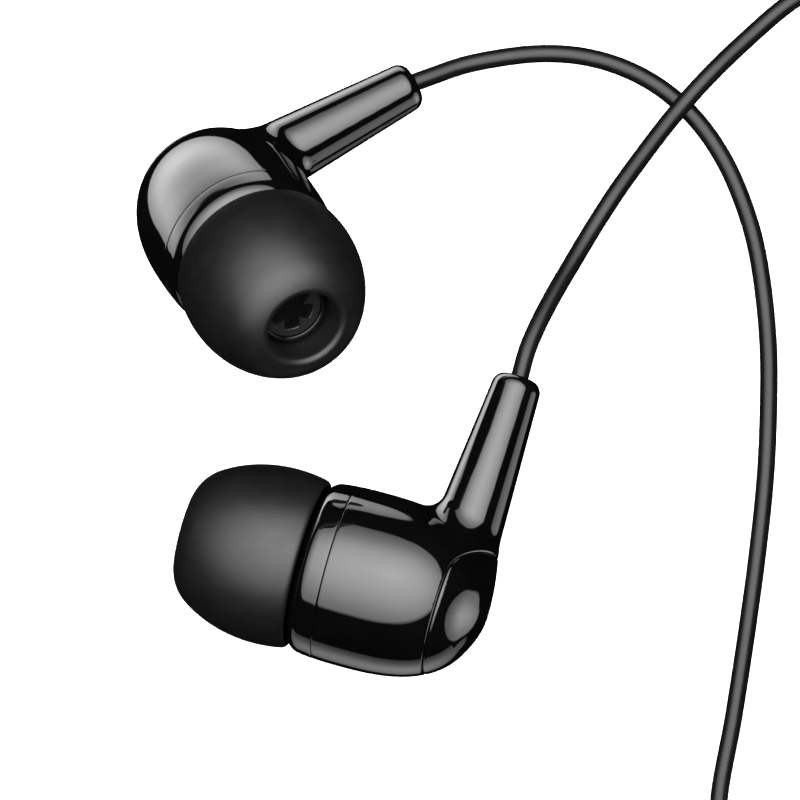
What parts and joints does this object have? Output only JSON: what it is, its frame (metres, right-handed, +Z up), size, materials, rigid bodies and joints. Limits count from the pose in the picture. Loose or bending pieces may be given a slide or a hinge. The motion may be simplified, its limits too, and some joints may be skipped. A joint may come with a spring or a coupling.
{
  "type": "wired earphones",
  "caption": "In-ear earphones with round gloss housings, tapered stems, mushroom ear tips and a thin cord to a stereo plug.",
  "frame": {"origin": "on the surface that the earphones lie on, under the middle of the box of the two earbuds", "axes": "+Z up from the surface; +Y along the longer side of the pair of earbuds; +X towards the coiled cord"},
  "size_m": [0.1, 0.068, 0.0218],
  "materials": {
    "gloss_shell": "high-gloss black moulded plastic",
    "silicone": "matte black silicone",
    "grille_plastic": "satin black plastic",
    "mesh_steel": "fine woven mesh",
    "cord_rubber": "satin black cord jacket",
    "tie_strap": "satin strap",
    "grip_plastic": "satin black moulded grip",
    "contact_metal": "polished gold-coloured plating",
    "insulator": "black insulator",
    "film": "thin formed film",
    "copper": "enamelled copper",
    "driver_steel": "stamped steel",
    "magnet": "nickel plated",
    "board": "circuit board"
  },
  "bodies": {
    "earphones": {"left_front_shell": "gloss_shell", "left_nozzle_grille": "grille_plastic", "left_acoustic_mesh": "mesh_steel", "left_rear_shell": "gloss_shell", "left_back_cap": "gloss_shell", "left_stem_grommet": "cord_rubber", "left_driver_gasket": "silicone", "left_diaphragm": "film", "left_voice_coil": "copper", "left_driver_frame": "driver_steel", "left_pole_plate": "driver_steel", "left_magnet": "magnet", "left_magnet_cup": "driver_steel", "left_terminal_board": "board", "left_lead_wires": "copper", "left_cord_knot": "cord_rubber", "left_inner_cord": "cord_rubber", "right_front_shell": "gloss_shell", "right_nozzle_grille": "grille_plastic", "right_acoustic_mesh": "mesh_steel", "right_rear_shell": "gloss_shell", "right_back_cap": "gloss_shell", "right_stem_grommet": "cord_rubber", "right_driver_gasket": "silicone", "right_diaphragm": "film", "right_voice_coil": "copper", "right_driver_frame": "driver_steel", "right_pole_plate": "driver_steel", "right_magnet": "magnet", "right_magnet_cup": "driver_steel", "right_terminal_board": "board", "right_lead_wires": "copper", "right_cord_knot": "cord_rubber", "right_inner_cord": "cord_rubber", "left_cord": "cord_rubber", "right_cord": "cord_rubber", "main_cord": "cord_rubber", "left_coil": "cord_rubber", "right_coil": "cord_rubber", "main_coil": "cord_rubber", "branch_tie": "tie_strap", "main_tie": "tie_strap", "y_split": "cord_rubber", "plug_boot": "cord_rubber", "plug_grip": "grip_plastic", "plug_collar": "contact_metal", "plug_sleeve": "contact_metal", "plug_ring": "contact_metal", "plug_insulators": "insulator", "plug_tip": "contact_metal"},
    "left_tip": {"left_ear_tip": "silicone"},
    "right_tip": {"right_ear_tip": "silicone"}
  },
  "joints": [
    {"name": "left_tip_pull", "type": "slide", "parent": "earphones", "child": "left_tip", "axis": [0.3717, -0.5078, 0.7771], "range_m": [0, 0.008]},
    {"name": "right_tip_pull", "type": "slide", "parent": "earphones", "child": "right_tip", "axis": [-0.9568, 0.2582, -0.134], "range_m": [0, 0.008]}
  ]
}
